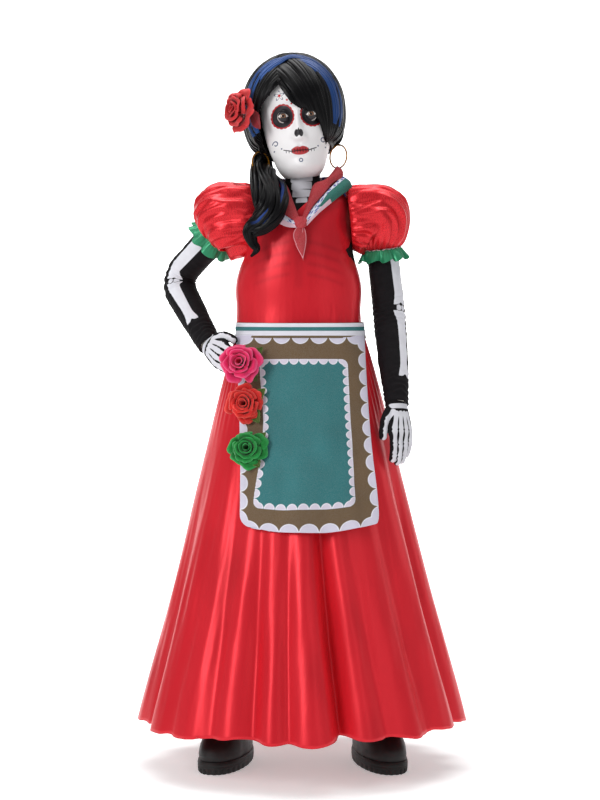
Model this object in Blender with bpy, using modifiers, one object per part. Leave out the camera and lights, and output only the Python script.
"""Papier-mache catrina figure, child height, dressed in real cloth.

Frame: metres, +Z up, the figure faces -Y, and the origin is on the floor under the middle of the
skirt. A wooden post and dowels carry papier-mache shells; the dress, apron, scarf, gloves, boots,
wig and flowers are put on over them. The head turns on the post, the left arm swings on the
shoulder dowel and the two hoop earrings hang free.
"""

import math

import bmesh
import bpy
from mathutils import Matrix, Vector

# Driving dimensions of the figure.
WAIST_Z = 0.812
HEM_Z = 0.088
NECK_TOP_Z = 1.120
SHOULDER_Z = 1.045
ARMHOLE_X = 0.1025
HEAD_PIVOT = Vector((0.0, 0.0, 1.100))
HEAD_TILT = math.radians(5.0)
PAPER_WALL = 0.004
CLOTH = 0.002
GAP = 0.0004

# Half width and half depth of the skirt's outermost folds, from the waist down to the hem.
SKIRT_LEVELS = (
    (0.812, 0.1215, 0.0880),
    (0.760, 0.1360, 0.1060),
    (0.704, 0.1510, 0.1250),
    (0.623, 0.1750, 0.1500),
    (0.522, 0.1970, 0.1780),
    (0.405, 0.2260, 0.2100),
    (0.289, 0.2560, 0.2420),
    (0.173, 0.2850, 0.2720),
    (0.088, 0.3050, 0.2950),
)
SKIRT_FOLDS = 12
FOLD_DEPTH = 0.030
SKIRT_POINTS = 60

APRON_WIDTH = 0.290
APRON_TOP_Z = 0.8020
APRON_BOTTOM_Z = 0.450
APRON_LIFT = 0.0025

NECK_CENTRE_Y = 0.012
POST_RADIUS = 0.012
DOWEL_RADIUS = 0.009
RUNNING_GAP = 0.0005

HOOP_RADIUS = 0.022
HOOP_WIRE = 0.0011
LOBE = Vector((0.074, -0.004, 1.168))
HOOP_TURN = math.radians(45.0)

FOOT_TURN = math.radians(14.0)
FOOT_X = 0.138
SOLE_TOP_Z = 0.024

COLOURS = {
    "papier_mache": ((0.86, 0.84, 0.80), 0.75, 0.0),
    "painted_face": ((0.90, 0.88, 0.86), 0.55, 0.0),
    "painted_body": ((0.03, 0.03, 0.035), 0.70, 0.0),
    "wood": ((0.62, 0.45, 0.27), 0.60, 0.0),
    "plaster": ((0.80, 0.79, 0.76), 0.85, 0.0),
    "red_satin": ((0.80, 0.09, 0.11), 0.32, 0.0),
    "green_satin": ((0.06, 0.42, 0.24), 0.32, 0.0),
    "blue_satin": ((0.06, 0.14, 0.42), 0.35, 0.0),
    "apron_print": ((0.08, 0.38, 0.38), 0.80, 0.0),
    "waistband": ((0.90, 0.90, 0.92), 0.80, 0.0),
    "scarf_cotton": ((0.62, 0.06, 0.09), 0.75, 0.0),
    "glove_jersey": ((0.03, 0.03, 0.035), 0.80, 0.0),
    "hair": ((0.012, 0.012, 0.014), 0.35, 0.0),
    "gold": ((0.85, 0.62, 0.20), 0.22, 1.0),
    "eye_resin": ((0.42, 0.26, 0.08), 0.10, 0.0),
    "boot_leather": ((0.02, 0.02, 0.02), 0.45, 0.0),
    "boot_rubber": ((0.015, 0.015, 0.015), 0.80, 0.0),
    "pink_felt": ((0.80, 0.03, 0.22), 0.90, 0.0),
    "red_felt": ((0.78, 0.05, 0.04), 0.90, 0.0),
    "green_felt": ((0.01, 0.32, 0.10), 0.90, 0.0),
    "leaf_felt": ((0.20, 0.30, 0.06), 0.90, 0.0),
}


# ---------------------------------------------------------------- scene and finishing helpers


def clear_scene():
    """Removes every object of the startup scene."""
    for obj in list(bpy.data.objects):
        bpy.data.objects.remove(obj)


def collection(name):
    """Makes a collection and links it to the scene."""
    made = bpy.data.collections.new(name)
    bpy.context.scene.collection.children.link(made)
    return made


def material(name):
    """The Principled material of this name, made once."""
    if name in bpy.data.materials:
        return bpy.data.materials[name]
    colour, roughness, metallic = COLOURS[name]
    made = bpy.data.materials.new(name)
    made.use_nodes = True
    shader = made.node_tree.nodes["Principled BSDF"]
    shader.inputs["Base Color"].default_value = (*colour, 1.0)
    shader.inputs["Roughness"].default_value = roughness
    shader.inputs["Metallic"].default_value = metallic
    return made


def adopt(obj, name, finish):
    """Names the object, gives it its finish and moves it to the figure's collection."""
    obj.name = name
    obj.data.name = name
    obj.data.materials.clear()
    obj.data.materials.append(material(finish))
    for owner in list(obj.users_collection):
        owner.objects.unlink(obj)
    FIGURE.objects.link(obj)
    if obj.type == "MESH":
        obj.data.shade_smooth()
        obj.data.set_sharp_from_angle(angle=math.radians(40))
    return obj


def as_cutter(obj):
    """Turns an object into a hidden helper for Boolean cuts."""
    for owner in list(obj.users_collection):
        owner.objects.unlink(obj)
    CUTTERS.objects.link(obj)
    obj.hide_render = True
    obj.display_type = "WIRE"
    return obj


def cut(obj, *cutters):
    """Takes the cutters' shapes away from the object."""
    for cutter in cutters:
        modifier = obj.modifiers.new("cut", "BOOLEAN")
        modifier.operation = "DIFFERENCE"
        modifier.object = cutter
    return obj


def fuse(obj, *others):
    """Joins helper shapes onto the object."""
    for other in others:
        modifier = obj.modifiers.new("fuse", "BOOLEAN")
        modifier.operation = "UNION"
        modifier.object = as_cutter(other)
    return obj


def wall(obj, thickness, offset=-1.0):
    """Gives an open surface its thickness, inwards unless the offset says otherwise."""
    modifier = obj.modifiers.new("wall", "SOLIDIFY")
    modifier.thickness = thickness
    modifier.offset = offset
    modifier.use_even_offset = True
    return obj


# ---------------------------------------------------------------- shape helpers


def new_mesh(name, points, faces):
    """A mesh object in the scene from points and faces."""
    mesh = bpy.data.meshes.new(name)
    mesh.from_pydata(points, [], faces)
    mesh.update()
    made = bpy.data.objects.new(name, mesh)
    bpy.context.scene.collection.objects.link(made)
    return made


def face_outwards(obj):
    """Turns a closed mesh's faces outwards."""
    shape = bmesh.new()
    shape.from_mesh(obj.data)
    bmesh.ops.recalc_face_normals(shape, faces=shape.faces)
    shape.to_mesh(obj.data)
    shape.free()
    return obj


def loft(name, rings, close_first=False, close_last=False):
    """Skins rings that have the same number of points, each running anticlockwise from above, upwards."""
    count = len(rings[0])
    points = [point for ring in rings for point in ring]
    faces = []
    for level in range(len(rings) - 1):
        low, high = level * count, (level + 1) * count
        for i in range(count):
            j = (i + 1) % count
            faces.append((low + i, low + j, high + j, high + i))
    if close_first:
        faces.append(tuple(reversed(range(count))))
    if close_last:
        top = (len(rings) - 1) * count
        faces.append(tuple(range(top, top + count)))
    return new_mesh(name, points, faces)


def oval(half_x, half_y, z, centre=(0.0, 0.0), count=32, power=2.0):
    """A superellipse ring at height z: power 2 is an ellipse, and more is squarer."""
    ring = []
    for i in range(count):
        angle = 2 * math.pi * i / count
        c, s = math.cos(angle), math.sin(angle)
        x = half_x * math.copysign(abs(c) ** (2 / power), c)
        y = half_y * math.copysign(abs(s) ** (2 / power), s)
        ring.append(Vector((centre[0] + x, centre[1] + y, z)))
    return ring


def rod(name, start, end, radius, sides=16):
    """A round bar from start to end."""
    start, end = Vector(start), Vector(end)
    along = end - start
    bpy.ops.mesh.primitive_cylinder_add(vertices=sides, radius=radius, depth=along.length)
    made = bpy.context.active_object
    made.name = name
    made.location = (start + end) / 2
    made.rotation_mode = "QUATERNION"
    made.rotation_quaternion = along.to_track_quat("Z", "Y")
    return made


def ball(name, centre, half_sizes, segments=20, rings=12):
    """An ellipsoid with the given half sizes."""
    bpy.ops.mesh.primitive_uv_sphere_add(segments=segments, ring_count=rings, radius=1.0)
    made = bpy.context.active_object
    made.name = name
    made.data.transform(Matrix.Diagonal((*half_sizes, 1.0)))
    made.location = centre
    return made


def block(name, centre, sizes):
    """A box with the given side lengths."""
    bpy.ops.mesh.primitive_cube_add(size=1.0)
    made = bpy.context.active_object
    made.name = name
    made.data.transform(Matrix.Diagonal((*sizes, 1.0)))
    made.location = centre
    return made


def limb(name, points, radii, swell=0.0, fineness=4):
    """A round limb along the points, as a closed mesh. swell is added to each radius."""
    data = bpy.data.curves.new(name, "CURVE")
    data.dimensions = "3D"
    data.bevel_depth = 1.0
    data.bevel_resolution = fineness
    data.use_fill_caps = True
    spline = data.splines.new("POLY")
    spline.points.add(len(points) - 1)
    for target, point, radius in zip(spline.points, points, radii):
        target.co = (*point, 1.0)
        target.radius = radius + swell
    path = bpy.data.objects.new(name, data)
    bpy.context.scene.collection.objects.link(path)
    return mesh_of_curve(path)


def mesh_of_curve(path):
    """Replaces a curve with its mesh, with the caps welded on, so that it can be cut and joined."""
    graph = bpy.context.evaluated_depsgraph_get()
    mesh = bpy.data.meshes.new_from_object(path.evaluated_get(graph))
    shape = bmesh.new()
    shape.from_mesh(mesh)
    bmesh.ops.remove_doubles(shape, verts=shape.verts, dist=0.00001)
    bmesh.ops.recalc_face_normals(shape, faces=shape.faces)
    shape.to_mesh(mesh)
    shape.free()
    name, placed = path.name, path.matrix_world.copy()
    bpy.data.objects.remove(path)
    made = bpy.data.objects.new(name, mesh)
    bpy.context.scene.collection.objects.link(made)
    made.matrix_world = placed
    return made


def smooth_path(knots, steps):
    """A Catmull-Rom curve through the knots, with steps points to each span."""
    knots = [Vector(k) for k in knots]
    ends = [2 * knots[0] - knots[1], *knots, 2 * knots[-1] - knots[-2]]
    path = []
    for i in range(1, len(ends) - 2):
        a, b, c, d = ends[i - 1 : i + 3]
        for step in range(steps):
            t = step / steps
            path.append(
                0.5
                * (
                    2 * b
                    + (c - a) * t
                    + (2 * a - 5 * b + 4 * c - d) * t**2
                    + (3 * b - a - 3 * c + d) * t**3
                )
            )
    return [*path, knots[-1]]


def bent_path(corners, bends, spacing):
    """Straight runs between the corners, each inner corner rounded to its bend radius, in even steps."""
    corners = [Vector(c) for c in corners]
    path = [corners[0]]
    for before, corner, after, radius in zip(corners, corners[1:], corners[2:], bends):
        into, out = (corner - before).normalized(), (after - corner).normalized()
        half = into.angle(out) / 2
        centre = corner + (out - into).normalized() * radius / math.cos(half)
        start = corner - into * radius * math.tan(half) - centre
        end = corner + out * radius * math.tan(half) - centre
        path += [centre + start.slerp(end, step / 8).normalized() * radius for step in range(9)]
    path.append(corners[-1])
    return even_steps(path, spacing)


def even_steps(path, spacing):
    """Points at even steps along a path, its two ends kept."""
    lengths = [0.0]
    for a, b in zip(path, path[1:]):
        lengths.append(lengths[-1] + (b - a).length)
    count = round(lengths[-1] / spacing)
    out, span = [], 0
    for step in range(count + 1):
        target = lengths[-1] * step / count
        while span < len(path) - 2 and lengths[span + 1] < target:
            span += 1
        share = (target - lengths[span]) / (lengths[span + 1] - lengths[span])
        out.append(path[span].lerp(path[span + 1], share))
    return out


def sizes_along(path, table):
    """A radius for each point of the path, from a table of shares of its length and radii."""
    sizes = []
    for i in range(len(path)):
        share = i / (len(path) - 1)
        for (s0, r0), (s1, r1) in zip(table, table[1:]):
            if share <= s1 + 1e-9:
                sizes.append(r0 + (r1 - r0) * (share - s0) / (s1 - s0))
                break
    return sizes


def spread(values, steps):
    """The values with steps equal steps between neighbours, to go with smooth_path."""
    out = []
    for a, b in zip(values, values[1:]):
        out += [a + (b - a) * step / steps for step in range(steps)]
    return [*out, values[-1]]


def tilted(point):
    """A point of the upright head, once the head leans to its right on the neck."""
    return HEAD_PIVOT + Matrix.Rotation(-HEAD_TILT, 3, "Y") @ (Vector(point) - HEAD_PIVOT)


def lean(obj):
    """Leans an object of the upright head with the head."""
    bpy.context.view_layer.update()
    turn = Matrix.Translation(HEAD_PIVOT) @ Matrix.Rotation(-HEAD_TILT, 4, "Y")
    obj.matrix_world = turn @ Matrix.Translation(-HEAD_PIVOT) @ obj.matrix_world
    return obj


# ---------------------------------------------------------------- the skirt's surface


def skirt_envelope(z):
    """Half width and half depth of the outermost folds at height z."""
    for (z1, x1, y1), (z0, x0, y0) in zip(SKIRT_LEVELS, SKIRT_LEVELS[1:]):
        if z >= z0:
            share = min(1.0, (z - z0) / (z1 - z0))
            return x0 + (x1 - x0) * share, y0 + (y1 - y0) * share
    return SKIRT_LEVELS[-1][1:]


def fold_depth(z):
    """How deep the folds are at height z, from nothing at the waist to their most at the hem."""
    fall = (WAIST_Z - z) / (WAIST_Z - HEM_Z)
    return FOLD_DEPTH * max(0.0, fall) ** 1.3


def fold_valley(angle):
    """0 on a fold's crest and 1 in its valley. The four axis directions are all crests."""
    drift = math.sin(2 * angle) ** 2 * math.sin(3 * angle + 1.0)
    return 0.5 - 0.5 * math.cos(SKIRT_FOLDS * angle + 1.1 * drift)


def skirt_ring(z):
    """The skirt's outline at height z."""
    half_x, half_y = skirt_envelope(z)
    ring = []
    for i in range(SKIRT_POINTS):
        angle = 2 * math.pi * i / SKIRT_POINTS
        inset = fold_depth(z) * fold_valley(angle)
        point = Vector(((half_x - inset) * math.cos(angle), (half_y - inset) * math.sin(angle), z))
        ring.append(point)
    return ring


def on_skirt(x, z, lift=0.0):
    """A point on the front of the skirt's envelope, pushed out by lift, and the outward direction there."""
    half_x, half_y = skirt_envelope(z)
    x = max(-0.999 * half_x, min(0.999 * half_x, x))
    y = -half_y * math.sqrt(1 - (x / half_x) ** 2)
    outward = Vector((x / half_x**2, y / half_y**2, 0.0)).normalized()
    outward = (outward + Vector((0.0, 0.0, 0.26))).normalized()
    return Vector((x, y, z)) + outward * lift, outward


def front_arc(half_x, half_y, reach):
    """The angle from straight ahead at which the ellipse's arc reaches that length."""
    angle, length, step = 0.0, 0.0, 0.002
    while length < reach and angle < 0.5 * math.pi:
        length += step * math.hypot(half_x * math.cos(angle), half_y * math.sin(angle))
        angle += step
    return angle


# ---------------------------------------------------------------- wooden armature


def build_armature():
    """The post, dowels, blocks and rings that carry the paper shells."""
    dowel_hole = rod("dowel_hole", (-0.1235, 0, SHOULDER_Z), (0.1235, 0, SHOULDER_Z), DOWEL_RADIUS + GAP)
    as_cutter(dowel_hole)

    post_bottom, post_top = 0.7054, 1.166
    post = rod("spine_post", (0, 0, post_bottom), (0, 0, post_top), POST_RADIUS)
    adopt(cut(post, dowel_hole), "spine_post", "wood")

    dowel = rod("shoulder_dowel", (-0.122, 0, SHOULDER_Z), (0.122, 0, SHOULDER_Z), DOWEL_RADIUS)
    adopt(dowel, "shoulder_dowel", "wood")

    hip_block = block("hip_block", (0, 0, 0.7250), (0.150, 0.070, 0.060))
    post_hole = rod("post_hole", (0, 0, 0.70), (0, 0, 0.80), POST_RADIUS + GAP)
    adopt(cut(hip_block, as_cutter(post_hole)), "hip_block", "wood")

    ring_hole = rod("ring_hole", (0, 0, 1.0), (0, 0, 1.2), POST_RADIUS + GAP)
    neck_ring = rod("neck_ring", (0, 0.0, 1.106), (0, 0.0, 1.1185), 0.0235)
    adopt(cut(neck_ring, as_cutter(ring_hole)), "neck_ring", "wood")

    socket_hole = rod("socket_hole", (0, 0, 1.10), (0, 0, 1.170), POST_RADIUS + RUNNING_GAP)
    head_socket = rod("head_socket", (0, 0, 1.1195), (0, 0, 1.185), 0.023)
    adopt(cut(head_socket, as_cutter(socket_hole)), "head_socket", "wood")

    for side, sign in (("left", 1), ("right", -1)):
        top, ankle = leg_line(sign)
        adopt(rod(f"leg_post_{side}", top, ankle, 0.010, 16), f"leg_post_{side}", "wood")
    return dowel_hole


def leg_line(sign):
    """Where a leg's post starts under the hip block and ends in the foot."""
    return Vector((sign * 0.058, 0, 0.6920)), Vector((sign * 0.1300, 0.030, 0.0950))


# ---------------------------------------------------------------- papier-mache shells


def build_torso(dowel_hole):
    """The hollow torso, from the hips to the top of the neck."""
    levels = (
        (0.672, 0.104, 0.084, 0.0),
        (0.720, 0.112, 0.088, 0.0),
        (0.770, 0.110, 0.080, 0.0),
        (0.815, 0.104, 0.072, 0.0),
        (0.860, 0.104, 0.072, 0.0),
        (0.920, 0.108, 0.076, 0.0),
        (0.960, 0.098, 0.078, 0.0),
        (1.010, 0.091, 0.074, 0.0),
        (1.045, 0.089, 0.067, 0.001),
        (1.064, 0.070, 0.055, 0.004),
        (1.076, 0.047, 0.044, 0.005),
        (1.090, 0.035, 0.035, 0.002),
        (1.104, 0.0325, 0.0325, 0.0),
        (NECK_TOP_Z, 0.0325, 0.0325, 0.0),
    )
    rings = [oval(x, y, z, (0, cy), 20) for z, x, y, cy in levels]
    torso = wall(loft("torso_shell", rings), PAPER_WALL)
    cut(torso, dowel_hole)
    adopt(torso, "torso_shell", "painted_body")


def build_legs():
    """A tapering paper tube round each leg post."""
    for side, sign in (("left", 1), ("right", -1)):
        top, ankle = leg_line(sign)
        start, end = top.lerp(ankle, 0.050), top.lerp(ankle, 0.86)
        tube = limb(f"leg_{side}", [start, start.lerp(end, 0.5), end], [0.046, 0.040, 0.029])
        bore = limb(f"leg_bore_{side}", [start.lerp(end, -0.1), start.lerp(end, 1.1)], [0.040, 0.024])
        adopt(cut(tube, as_cutter(bore)), f"leg_{side}", "papier_mache")


HEAD_LEVELS = (
    (1.110, 0.043, -0.078, 0.052),
    (1.135, 0.047, -0.088, 0.062),
    (1.165, 0.056, -0.093, 0.074),
    (1.200, 0.065, -0.096, 0.082),
    (1.240, 0.070, -0.095, 0.086),
    (1.270, 0.069, -0.089, 0.083),
    (1.295, 0.061, -0.074, 0.072),
    (1.312, 0.046, -0.051, 0.052),
    (1.321, 0.024, -0.025, 0.029),
)


def head_rings(swell=0.0):
    """The upright head's outline at each level, grown by swell."""
    rings = []
    for z, half_x, front, back in HEAD_LEVELS:
        middle, half_y = (front + back) / 2, (back - front) / 2
        rings.append(oval(half_x + swell, half_y + swell, z + swell, (0, middle), 20))
    return rings


def build_head():
    """The hollow head with its two eye holes, and the eyes behind them."""
    head = wall(loft("head_shell", head_rings(), close_last=True), PAPER_WALL)
    for side, sign in (("left", 1), ("right", -1)):
        centre = Vector((sign * 0.026, -0.083, 1.216))
        hole = rod(f"eye_hole_{side}", centre + Vector((0, -0.05, 0)), centre + Vector((0, 0.012, 0)), 0.0119)
        cut(head, as_cutter(hole))
        adopt(lean(ball(f"eye_{side}", centre, (0.0112,) * 3, 12, 8)), f"eye_{side}", "eye_resin")
    adopt(lean_with_cutters(head), "head_shell", "painted_face")


def lean_with_cutters(obj):
    """Leans an object of the upright head together with the helpers that cut it."""
    for modifier in obj.modifiers:
        if modifier.type == "BOOLEAN":
            lean(modifier.object)
    return lean(obj)


# ---------------------------------------------------------------- wig, headband, flower, earrings

WIG_CENTRE = Vector((0.0, 0.004, 1.2420))
WIG_HALF = Vector((0.0965, 0.1040, 0.1065))


def build_wig():
    """The bob of the wig, with a face opening under its parted fringe."""
    wig = ball("wig", WIG_CENTRE, WIG_HALF, 22, 12)
    head_void = loft("head_void", head_rings(0.0008), close_first=True, close_last=True)
    below = block("below_wig", (0, -0.12, 1.072), (0.30, 0.29, 0.206))
    arch = (
        (-0.062, 1.150),
        (0.064, 1.150),
        (0.072, 1.195),
        (0.060, 1.222),
        (0.030, 1.262),
        (-0.012, 1.292),
        (-0.040, 1.262),
        (-0.066, 1.205),
    )
    near, far = -0.20, -0.020
    points = [Vector((x, y, z)) for y in (near, far) for x, z in arch]
    count = len(arch)
    faces = [tuple(range(count)), tuple(reversed(range(count, 2 * count)))]
    faces += [(i, i + count, (i + 1) % count + count, (i + 1) % count) for i in range(count)]
    opening = new_mesh("face_opening", points, faces)
    neck_way = rod("neck_way", (0, 0.012, 1.05), (0, 0.012, 1.19), 0.050, 28)
    cut(wig, as_cutter(below), as_cutter(opening), as_cutter(head_void), as_cutter(neck_way))
    adopt(lean_with_cutters(wig), "wig", "hair")


def build_headband():
    """A flat satin band over the wig, from one temple to the other."""
    front, back, low, high = -0.046, -0.016, -22.0, 202.0
    columns, rows = 22, 2
    points, faces = [], []
    half = WIG_HALF + Vector((0.001, 0.001, 0.001))
    for i in range(columns + 1):
        angle = math.radians(low + (high - low) * i / columns)
        for j in range(rows + 1):
            y = front + (back - front) * j / rows
            scale = math.sqrt(1 - (y / half.y) ** 2)
            across = Vector((half.x * scale * math.cos(angle), y, half.z * scale * math.sin(angle)))
            points.append(WIG_CENTRE + across)
    for i in range(columns):
        for j in range(rows):
            a = i * (rows + 1) + j
            faces.append((a, a + 1, a + rows + 2, a + rows + 1))
    band = wall(new_mesh("headband", points, faces), 0.0025, 1.0)
    shape = bmesh.new()
    shape.from_mesh(band.data)
    bmesh.ops.recalc_face_normals(shape, faces=shape.faces)
    if shape.faces[len(shape.faces) // 2].normal.z < 0:
        bmesh.ops.reverse_faces(shape, faces=shape.faces)
    shape.to_mesh(band.data)
    shape.free()
    adopt(lean(band), "headband", "blue_satin")


def rose(name, centre, outward, radius, depth, finish):
    """A ruffled dome whose back is at centre and which opens along outward."""
    bpy.ops.mesh.primitive_uv_sphere_add(segments=15, ring_count=8, radius=1.0)
    made = bpy.context.active_object
    for vertex in made.data.vertices:
        angle = math.atan2(vertex.co.y, vertex.co.x)
        ruffle = 1.0 + 0.07 * math.cos(5 * angle)
        vertex.co.x *= radius * ruffle
        vertex.co.y *= radius * ruffle
        vertex.co.z *= depth / 2
    outward = Vector(outward).normalized()
    made.location = Vector(centre) + outward * depth / 2
    made.rotation_mode = "QUATERNION"
    made.rotation_quaternion = outward.to_track_quat("Z", "Y")
    return adopt(made, name, finish)


def leaf(name, centre, outward, direction, length, width):
    """A thin pointed leaf that lies across outward and points along direction."""
    outward, direction = Vector(outward).normalized(), Vector(direction)
    direction = (direction - outward * direction.dot(outward)).normalized()
    side = direction.cross(outward)
    steps = 4
    edge = []
    for i in range(steps + 1):
        t = i / steps
        half = width / 2 * math.sin(math.pi * t) ** 0.8
        edge.append((t, half))
    right = [direction * (length * (t - 0.5)) + side * half for t, half in edge]
    left = [direction * (length * (t - 0.5)) - side * half for t, half in reversed(edge[1:-1])]
    base = [Vector(centre) + p for p in right + left]
    count = len(base)
    thick = outward * 0.0015
    points = base + [p + thick for p in base]
    faces = [tuple(range(count)), tuple(reversed(range(count, 2 * count)))]
    faces += [(i, i + count, (i + 1) % count + count, (i + 1) % count) for i in range(count)]
    return face_outwards(new_mesh(name, points, faces))


def build_hair_rose():
    """The red flower pinned over the right temple, with one leaf behind it."""
    outward = Vector((-0.82, -0.57, 0.05))
    centre = tilted((-0.0830, -0.0545, 1.238))
    rose("hair_rose", centre, outward, 0.034, 0.030, "red_felt")
    hair_leaf = leaf("hair_rose_leaf", tilted((-0.0805, -0.0600, 1.207)), outward, (0.3, -0.3, -1.0), 0.046, 0.022)
    adopt(hair_leaf, "hair_rose_leaf", "red_felt")


def build_earrings():
    """Two plain hoops that hang plumb from the lobes of the leaning head."""
    for side, sign in (("left", 1), ("right", -1)):
        lobe = tilted((sign * LOBE.x, LOBE.y, LOBE.z))
        bpy.ops.mesh.primitive_torus_add(
            major_radius=HOOP_RADIUS, minor_radius=HOOP_WIRE, major_segments=24, minor_segments=6
        )
        hoop = bpy.context.active_object
        flip = Matrix.Rotation(math.radians(90), 4, "X")
        turn = Matrix.Rotation(-sign * HOOP_TURN, 4, "Z")
        hoop.data.transform(turn @ Matrix.Translation((0, 0, -HOOP_RADIUS)) @ flip)
        hoop.location = lobe
        adopt(hoop, f"earring_{side}", "gold")


# ---------------------------------------------------------------- dress


BODICE_LEVELS = (
    (0.8225, 0.1175, 0.0840),
    (0.860, 0.1165, 0.0830),
    (0.905, 0.1185, 0.0850),
    (0.938, 0.1110, 0.0860),
    (0.960, 0.1030, 0.0860),
    (1.020, 0.0985, 0.0820),
    (1.050, 0.0970, 0.0750),
    (1.066, 0.0880, 0.0660),
    (1.079, 0.0690, 0.0580),
    (1.087, 0.0540, 0.0500),
)


def bodice_envelope(z, neck=((1.098, 0.0420, 0.0410), (1.125, 0.0400, 0.0400))):
    """Half width and half depth of the bodice, or of the neck above it, at height z."""
    levels = (*BODICE_LEVELS, *neck)
    for (z0, x0, y0), (z1, x1, y1) in zip(levels, levels[1:]):
        if z <= z1:
            share = max(0.0, (z - z0) / (z1 - z0))
            return x0 + (x1 - x0) * share, y0 + (y1 - y0) * share
    return levels[-1][1:]


def build_bodice(dowel_hole):
    """The bodice, open at the neck and the waist, with its back fastening strip."""
    rings = [oval(x, y, z, (0, 0), 24) for z, x, y in BODICE_LEVELS]
    bodice = wall(loft("dress_bodice", rings), CLOTH)
    adopt(cut(bodice, dowel_hole), "dress_bodice", "red_satin")

    columns, rows = 2, 8
    points, faces = [], []
    for j in range(rows + 1):
        z = 0.838 + (1.035 - 0.838) * j / rows
        half_y = bodice_envelope(z)[1]
        for i in range(columns + 1):
            x = -0.011 + 0.022 * i / columns
            points.append(Vector((x, half_y + 0.0014, z)))
    for j in range(rows):
        for i in range(columns):
            a = j * (columns + 1) + i
            faces.append((a, a + columns + 1, a + columns + 2, a + 1))
    adopt(wall(new_mesh("back_fastening", points, faces), 0.0018, 1.0), "back_fastening", "red_satin")


def build_skirt():
    """The long skirt, gathered at the waist and falling in folds to just above the floor."""
    heights = (0.812, 0.760, 0.690, 0.590, 0.470, 0.340, 0.210, 0.088)
    rings = [skirt_ring(z) for z in reversed(heights)]
    adopt(wall(loft("dress_skirt", rings), CLOTH), "dress_skirt", "red_satin")


ARM_SIZES = ((0.0, 0.0200), (0.12, 0.0215), (0.25, 0.0260), (0.62, 0.0265), (0.80, 0.0240), (1.0, 0.0180))
ARM_CORNERS = {
    "left": ((0.106, 0.0, 1.045), (0.144, 0.0, 1.045), (0.165, 0.028, 0.862), (0.176, -0.064, 0.682)),
    "right": ((-0.106, 0.0, 1.045), (-0.128, 0.0, 1.045), (-0.252, 0.111, 0.925), (-0.177, 0.000, 0.795)),
}
ARM_BENDS = {"left": (0.027, 0.120), "right": (0.030, 0.036)}
ARM_STEP = 0.016
CUFF_STEP = {"left": 6, "right": 5}


def arm_path(side):
    """The centreline of an arm from the shoulder dowel to the wrist, and its radii."""
    path = bent_path(ARM_CORNERS[side], ARM_BENDS[side], ARM_STEP)
    return path, sizes_along(path, ARM_SIZES)


def build_sleeve(side, sign, arm_way):
    """The puffed sleeve round the top of an arm and the green frill under its gathered cuff."""
    path, _ = arm_path(side)
    frill_at = path[CUFF_STEP[side]]
    frill_along = (path[CUFF_STEP[side] + 1] - path[CUFF_STEP[side] - 1]).normalized()
    if sign > 0:
        centre, half = Vector((0.152, 0.010, 1.021)), (0.060, 0.066, 0.068)
    else:
        centre, half = Vector((-0.162, 0.024, 1.020)), (0.064, 0.068, 0.070)
    puff = ball(f"sleeve_{side}", centre, half, 20, 12)
    inner = block(f"armhole_{side}", (sign * (ARMHOLE_X - 0.1), 0, 1.0), (0.2, 0.4, 0.4))
    turn = frill_along.to_track_quat("Z", "Y")
    below = block(f"below_cuff_{side}", frill_at + frill_along * 0.1, (0.3, 0.3, 0.2))
    below.rotation_mode = "QUATERNION"
    below.rotation_quaternion = turn
    cut(puff, as_cutter(inner), as_cutter(below), arm_way)
    adopt(puff, f"sleeve_{side}", "red_satin")

    count, waves = 32, 8
    rings = []
    for z, radius, ripple in ((0.0012, 0.0345, 0.0), (0.010, 0.0385, 0.0022), (0.022, 0.0440, 0.0035)):
        ring = []
        for i in range(count):
            angle = 2 * math.pi * i / count
            r = radius + ripple * math.cos(waves * angle)
            ring.append(Vector((r * math.cos(angle), r * math.sin(angle), z)))
        rings.append(ring)
    frill = wall(loft(f"sleeve_frill_{side}", rings), 0.0015)
    frill.location = frill_at
    frill.rotation_mode = "QUATERNION"
    frill.rotation_quaternion = turn
    adopt(frill, f"sleeve_frill_{side}", "green_satin")


# ---------------------------------------------------------------- arms, gloves and hands


def hand_shape(name, wrist, fingers, back, sign, curl):
    """A stuffed glove hand: a flat palm, four fingers and a thumb, fused into one solid.

    fingers is the way they point, back is the way the back of the hand faces, and sign is 1 for a
    left hand and -1 for a right one.
    """
    fingers, back = Vector(fingers).normalized(), Vector(back)
    back = (back - fingers * back.dot(fingers)).normalized()
    thumb_side = fingers.cross(back) * sign
    frame = Matrix((thumb_side, back, fingers)).transposed()

    def at(across, out, along):
        return Vector(wrist) + frame @ Vector((across, out, along))

    rings = []
    for along, half_width, half_depth in ((-0.012, 0.017, 0.012), (0.014, 0.025, 0.0125), (0.040, 0.0290, 0.0125), (0.066, 0.0265, 0.0100)):
        flat = oval(half_width, half_depth, along, (0, 0), 12)
        rings.append([at(*point) for point in flat])
    palm = face_outwards(loft(name, rings, True, True))
    digits = []
    for index, (across, length) in enumerate(((0.0195, 0.058), (0.0065, 0.064), (-0.0065, 0.060), (-0.0190, 0.047))):
        start = 0.052
        bent = [
            at(across, 0.001, start),
            at(across * 0.98, -0.001, start + length * 0.4),
            at(across * 0.92, -0.001 - curl * 0.5, start + length * 0.75),
            at(across * 0.86, -0.001 - curl, start + length),
        ]
        digits.append(limb(f"{name}_finger_{index}", bent, [0.0075, 0.0075, 0.0070, 0.0045], 0.0, 2))
    thumb = [at(0.020, -0.001, 0.012), at(0.032, -0.003, 0.032), at(0.036, -0.006, 0.052), at(0.035, -0.010, 0.070)]
    digits.append(limb(f"{name}_thumb", thumb, [0.0085, 0.0090, 0.0080, 0.0048], 0.0, 2))
    return fuse(palm, *digits)


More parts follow.
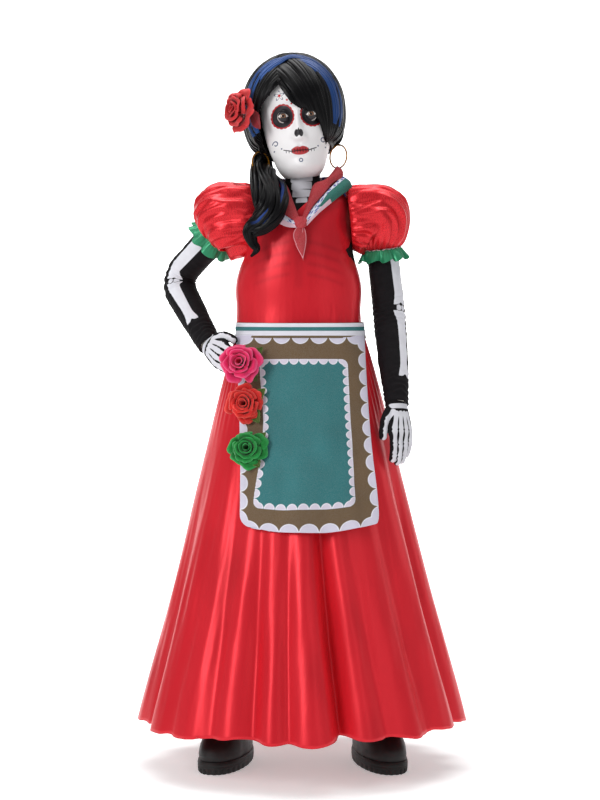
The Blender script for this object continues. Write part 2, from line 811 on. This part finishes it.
def build_arm(side, sign, dowel_hole):
    """A paper arm on the shoulder dowel, with a long jersey glove pulled over it. Returns the arm's way."""
    path, sizes = arm_path(side)
    core = limb(f"arm_core_{side}", path, sizes)
    adopt(cut(core, dowel_hole), f"arm_core_{side}", "papier_mache")

    first = CUFF_STEP[side] - 2
    glove = limb(f"glove_{side}", path[first:], sizes[first:], swell=0.0036)
    if sign > 0:
        fingers, back, curl = (0.10, -0.22, -1.0), (0.60, -0.80, 0.0), 0.014
    else:
        fingers, back, curl = (0.46, -0.80, -0.38), (-0.85, -0.45, 0.25), 0.006
    hand = hand_shape(f"hand_{side}", path[-1], fingers, back, sign, curl)
    beyond = path[-1] + (path[-1] - path[-2]).normalized() * 0.0005
    hollow = limb(f"glove_hollow_{side}", [*path[first - 1 :], beyond], [*sizes[first - 1 :], sizes[-1]], 0.0014)
    fuse(glove, hand)
    cut(glove, as_cutter(hollow))
    adopt(glove, f"glove_{side}", "glove_jersey")

    last = CUFF_STEP[side] + 3
    inner_end = Vector((sign * 0.094, 0.0, SHOULDER_Z))
    arm_way = limb(f"arm_way_{side}", [inner_end, *path[:last]], [sizes[0], *sizes[:last]], swell=0.0052)
    return as_cutter(arm_way)


# ---------------------------------------------------------------- apron and its roses


def build_apron():
    """The striped waistband, its back tab and the printed apron panel that hangs from it."""
    rings = [oval(x, y, z, (0, 0), 36) for z, x, y in ((0.8045, 0.1290, 0.0955), (0.8200, 0.1260, 0.0923), (0.8380, 0.1250, 0.0915))]
    adopt(wall(loft("apron_waistband", rings), CLOTH), "apron_waistband", "waistband")
    tab = block("waistband_tab", (0, 0.0965, 0.8215), (0.050, 0.0025, 0.028))
    tab.rotation_euler.x = math.radians(8.4)
    adopt(tab, "waistband_tab", "waistband")

    columns, rows = 12, 6
    points, faces = [], []
    for j in range(rows + 1):
        z = APRON_BOTTOM_Z + (APRON_TOP_Z - APRON_BOTTOM_Z) * j / rows
        half_x, half_y = (size + APRON_LIFT for size in skirt_envelope(z))
        reach = front_arc(half_x, half_y, APRON_WIDTH / 2)
        for i in range(columns + 1):
            angle = -0.5 * math.pi + reach * (2 * i / columns - 1)
            points.append(Vector((half_x * math.cos(angle), half_y * math.sin(angle), z)))
    for j in range(rows):
        for i in range(columns):
            a = j * (columns + 1) + i
            faces.append((a, a + 1, a + columns + 2, a + columns + 1))
    adopt(wall(new_mesh("apron_panel", points, faces), 0.0015, 1.0), "apron_panel", "apron_print")


APRON_ROSES = (
    ("pink", -0.106, 0.757, 0.036, 0.048),
    ("red", -0.101, 0.681, 0.034, 0.018),
    ("green", -0.100, 0.601, 0.034, 0.018),
)


def build_apron_roses():
    """Three felt roses in a column on the apron's border, each with two leaves under it."""
    for colour, x, z, radius, ahead in APRON_ROSES:
        spot, outward = on_skirt(x, z)
        centre = spot + Vector((0.0, -ahead, 0.0))
        outward = (outward + Vector((0.30, -0.30, 0.0))).normalized()
        rose(f"rose_{colour}", centre, outward, radius, 0.028, f"{colour}_felt")
        at, leaf_out = on_skirt(x + 0.028, z - 0.002)
        at += leaf_out * 0.0048
        along = Vector((1.0, 0.0, 0.0)) - leaf_out * leaf_out.x
        across = leaf_out.cross(along)
        pair = []
        for index, lean_up in enumerate((0.8, -0.9)):
            direction = along + across * lean_up
            centre = at + direction.normalized() * 0.011 + leaf_out * 0.0004 * index
            pair.append(leaf(f"leaf_{colour}_{index}", centre, leaf_out, direction, 0.034, 0.018))
        adopt(fuse(*pair), f"rose_leaves_{colour}", "leaf_felt")


# ---------------------------------------------------------------- scarf and ponytail


def build_scarf():
    """The neckerchief: a folded collar round the neck, its knot and its two short tails."""
    columns, rows = 24, 3
    points, faces = [], []
    for i in range(columns + 1):
        share = 2 * i / columns - 1
        angle = math.radians(90) + share * math.radians(172 - 1.5 * abs(share))
        high = 1.1045 - 0.0765 * abs(share) ** 2.0
        low = 1.084 - 0.084 * abs(share) ** 1.7
        for j in range(rows + 1):
            z = high + (low - high) * j / rows
            half_x, half_y = (size + 0.0044 for size in bodice_envelope(z))
            points.append(Vector((half_x * math.cos(angle), half_y * math.sin(angle), z)))
    for i in range(columns):
        for j in range(rows):
            a = i * (rows + 1) + j
            faces.append((a, a + 1, a + rows + 2, a + rows + 1))
    collar = new_mesh("scarf_collar", points, faces)
    adopt(wall(collar, 0.0025, 1.0), "scarf_collar", "scarf_cotton")
    adopt(ball("scarf_knot", (0.0, -0.1030, 1.016), (0.013, 0.009, 0.012), 12, 8), "scarf_knot", "scarf_cotton")
    tails = []
    for index, (x, spread_x, length) in enumerate(((-0.004, -0.008, 0.058), (0.006, 0.006, 0.050))):
        top = Vector((x, -0.1005 + 0.0008 * index, 1.002))
        tails.append(leaf(f"tail_{index}", top + Vector((spread_x / 2, 0, -length / 2)), (0, -1, 0), (spread_x, 0, -length), length, 0.022))
    adopt(fuse(*tails), "scarf_tails", "scarf_cotton")


def build_ponytail():
    """The side ponytail: a root on the wig, and a length pinned over the right shoulder."""
    knots = (
        (-0.074, 0.014, 1.096),
        (-0.075, -0.034, 1.094),
        (-0.070, -0.088, 1.066),
        (-0.064, -0.112, 1.036),
        (-0.078, -0.110, 1.004),
        (-0.088, -0.104, 0.978),
        (-0.086, -0.102, 0.957),
    )
    radii = (0.009, 0.016, 0.021, 0.021, 0.013, 0.009, 0.003)
    tail = limb("ponytail", smooth_path(knots, 2), spread(radii, 2))
    adopt(tail, "ponytail", "hair")

    top, end = tilted((-0.070, 0.050, 1.160)), tilted((-0.070, 0.040, 1.128))
    adopt(limb("ponytail_root", [top, top.lerp(end, 0.5), end], [0.011, 0.014, 0.012]), "ponytail_root", "hair")


# ---------------------------------------------------------------- boots


def foot_ring(half_x, front, back, z, count=16):
    """A foot-shaped outline at height z: rounder at the toe, narrower at the heel."""
    ring = []
    middle, half_y = (front + back) / 2, (back - front) / 2
    for i in range(count):
        angle = 2 * math.pi * i / count
        c, s = math.cos(angle), math.sin(angle)
        along = math.copysign(abs(s) ** 0.85, s)
        narrow = 1.0 - 0.14 * max(0.0, along)
        ring.append(Vector((half_x * narrow * math.copysign(abs(c) ** 0.85, c), middle + half_y * along, z)))
    return ring


def build_boots():
    """Ankle boots with thick soles, and the plaster feet that weight them."""
    for side, sign in (("left", 1), ("right", -1)):
        turn = Matrix.Translation((sign * FOOT_X, 0.012, 0)) @ Matrix.Rotation(sign * FOOT_TURN, 4, "Z")
        sole_levels = ((0.0, 0.0440, -0.128, 0.084), (0.004, 0.0465, -0.131, 0.087), (0.018, 0.0470, -0.132, 0.088), (SOLE_TOP_Z, 0.0455, -0.129, 0.086))
        sole = loft(f"sole_{side}", [foot_ring(x, f, b, z) for z, x, f, b in sole_levels], True, True)
        upper_levels = (
            (SOLE_TOP_Z + GAP, 0.0435, -0.126, 0.083),
            (0.046, 0.0440, -0.125, 0.083),
            (0.064, 0.0400, -0.110, 0.081),
            (0.082, 0.0365, -0.060, 0.079),
            (0.104, 0.0370, -0.032, 0.077),
            (0.140, 0.0385, -0.026, 0.073),
            (0.170, 0.0410, -0.026, 0.074),
        )
        upper = wall(loft(f"boot_{side}", [foot_ring(x, f, b, z) for z, x, f, b in upper_levels]), 0.003)
        foot_levels = (
            (SOLE_TOP_Z + GAP, 0.0360, -0.112, 0.070),
            (0.044, 0.0365, -0.108, 0.070),
            (0.058, 0.0320, -0.090, 0.068),
            (0.074, 0.0280, -0.046, 0.064),
            (0.0945, 0.0250, -0.018, 0.060),
        )
        foot = loft(f"foot_{side}", [foot_ring(x, f, b, z) for z, x, f, b in foot_levels], True, True)
        for shape, finish in ((sole, "boot_rubber"), (upper, "boot_leather"), (foot, "plaster")):
            shape.matrix_world = turn
            adopt(shape, shape.name, finish)
        leg_top, ankle = leg_line(sign)
        way = rod(f"post_way_{side}", leg_top.lerp(ankle, 0.9), ankle + (ankle - leg_top) * 0.03, 0.0108, 16)
        cut(foot, as_cutter(way))


# ---------------------------------------------------------------- the whole figure

clear_scene()
FIGURE = collection("catrina_figure")
CUTTERS = collection("cutters")

shoulder_hole = build_armature()
build_torso(shoulder_hole)
build_legs()
build_head()
build_wig()
build_headband()
build_hair_rose()
build_earrings()
build_bodice(shoulder_hole)
build_skirt()
for arm_side, arm_sign in (("left", 1), ("right", -1)):
    way_of_arm = build_arm(arm_side, arm_sign, shoulder_hole)
    build_sleeve(arm_side, arm_sign, way_of_arm)
build_apron()
build_apron_roses()
build_scarf()
build_ponytail()
build_boots()
